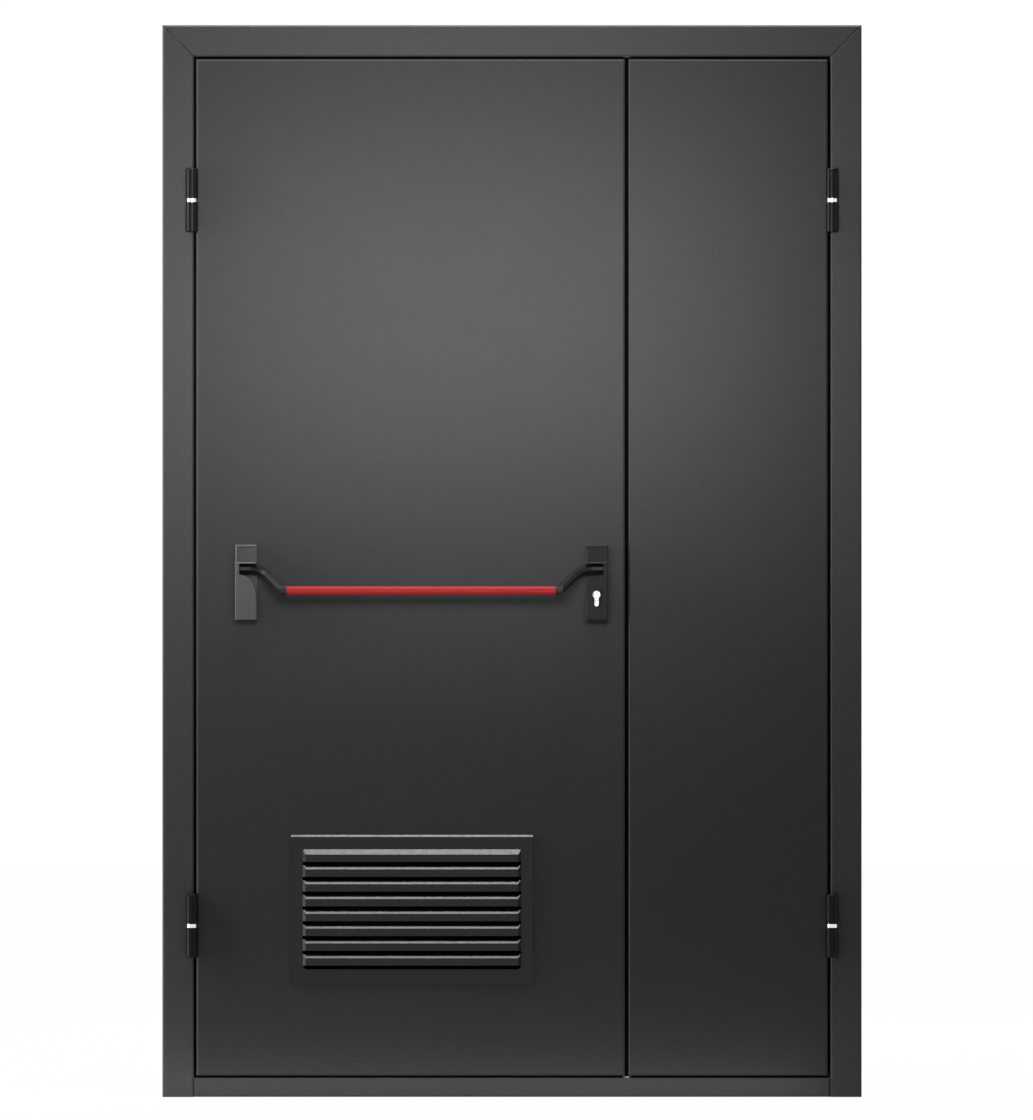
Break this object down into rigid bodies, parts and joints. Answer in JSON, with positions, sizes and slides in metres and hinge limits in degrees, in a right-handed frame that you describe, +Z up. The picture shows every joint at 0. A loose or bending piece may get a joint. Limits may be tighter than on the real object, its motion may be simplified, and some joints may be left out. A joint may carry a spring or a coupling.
{
  "type": "steel fire door, one and a half leaves",
  "caption": "Grey steel fire door in a folded frame, with a wide and a narrow hinged leaf, a red push bar, a key cylinder and a louvred vent grille.",
  "frame": {"origin": "on the underside of the threshold at floor level, midway between the jambs, in the wall plane", "axes": "+Z up, +X to the right seen from the push bar side, +Y from the push bar side into the wall"},
  "size_m": [1.37, 0.2212, 2.1],
  "materials": {
    "frame_coating": "fine satin powder coat",
    "leaf_coating": "fine satin powder coat",
    "grille_coating": "satin powder coat",
    "sleeve_black": "matt black",
    "seal_rubber": "matt",
    "core_wool": "mineral wool",
    "hinge_black": "satin black",
    "hinge_ring_steel": "bright",
    "bracket_grey": "satin",
    "bracket_dark": "satin",
    "arm_black": "satin gloss",
    "bar_red": "satin gloss",
    "cylinder_steel": "bright nickel",
    "edge_steel": "brushed"
  },
  "bodies": {
    "frame": {"left_jamb": "frame_coating", "right_jamb": "frame_coating", "head": "frame_coating", "threshold": "frame_coating", "left_seal": "seal_rubber", "right_seal": "seal_rubber", "head_seal": "seal_rubber", "threshold_seal": "seal_rubber", "left_lower_frame_knuckle": "hinge_black", "left_lower_hinge_ring": "hinge_ring_steel", "left_upper_frame_knuckle": "hinge_black", "left_upper_hinge_ring": "hinge_ring_steel", "right_lower_frame_knuckle": "hinge_black", "right_lower_hinge_ring": "hinge_ring_steel", "right_upper_frame_knuckle": "hinge_black", "right_upper_hinge_ring": "hinge_ring_steel"},
    "active_leaf": {"active_front_skin": "leaf_coating", "active_back_skin": "leaf_coating", "active_core": "core_wool", "vent_sleeve": "sleeve_black", "vent_grille": "grille_coating", "rear_vent_grille": "grille_coating", "left_bracket": "bracket_grey", "right_bracket": "bracket_dark", "lock_cylinder": "cylinder_steel", "lock_faceplate": "edge_steel", "left_lower_leaf_knuckle": "hinge_black", "left_upper_leaf_knuckle": "hinge_black"},
    "passive_leaf": {"passive_front_skin": "leaf_coating", "passive_back_skin": "leaf_coating", "passive_core": "core_wool", "meeting_seal": "seal_rubber", "strike_plate": "edge_steel", "right_lower_leaf_knuckle": "hinge_black", "right_upper_leaf_knuckle": "hinge_black"},
    "push_bar": {"push_bar": "bar_red", "left_arm": "arm_black", "right_arm": "arm_black"},
    "key_plug": {"key_plug": "cylinder_steel"}
  },
  "joints": [
    {"name": "active_leaf_swing", "type": "hinge", "parent": "frame", "child": "active_leaf", "pos_m": [-0.6265, -0.0265, 0.336], "axis": [0, 0, -1], "range_deg": [0, 110]},
    {"name": "passive_leaf_swing", "type": "hinge", "parent": "frame", "child": "passive_leaf", "pos_m": [0.6265, -0.0265, 0.336], "axis": [0, 0, 1], "range_deg": [0, 110]},
    {"name": "push_bar_press", "type": "hinge", "parent": "active_leaf", "child": "push_bar", "pos_m": [-0.177, -0.04, 1.034], "axis": [1, 0, 0], "range_deg": [0, 25], "stiffness_Nm_per_rad": 8, "springref_deg": -17.19},
    {"name": "key_turn", "type": "hinge", "parent": "active_leaf", "child": "key_plug", "pos_m": [0.166, -0.05, 0.984], "axis": [0, 1, 0], "continuous": true}
  ]
}
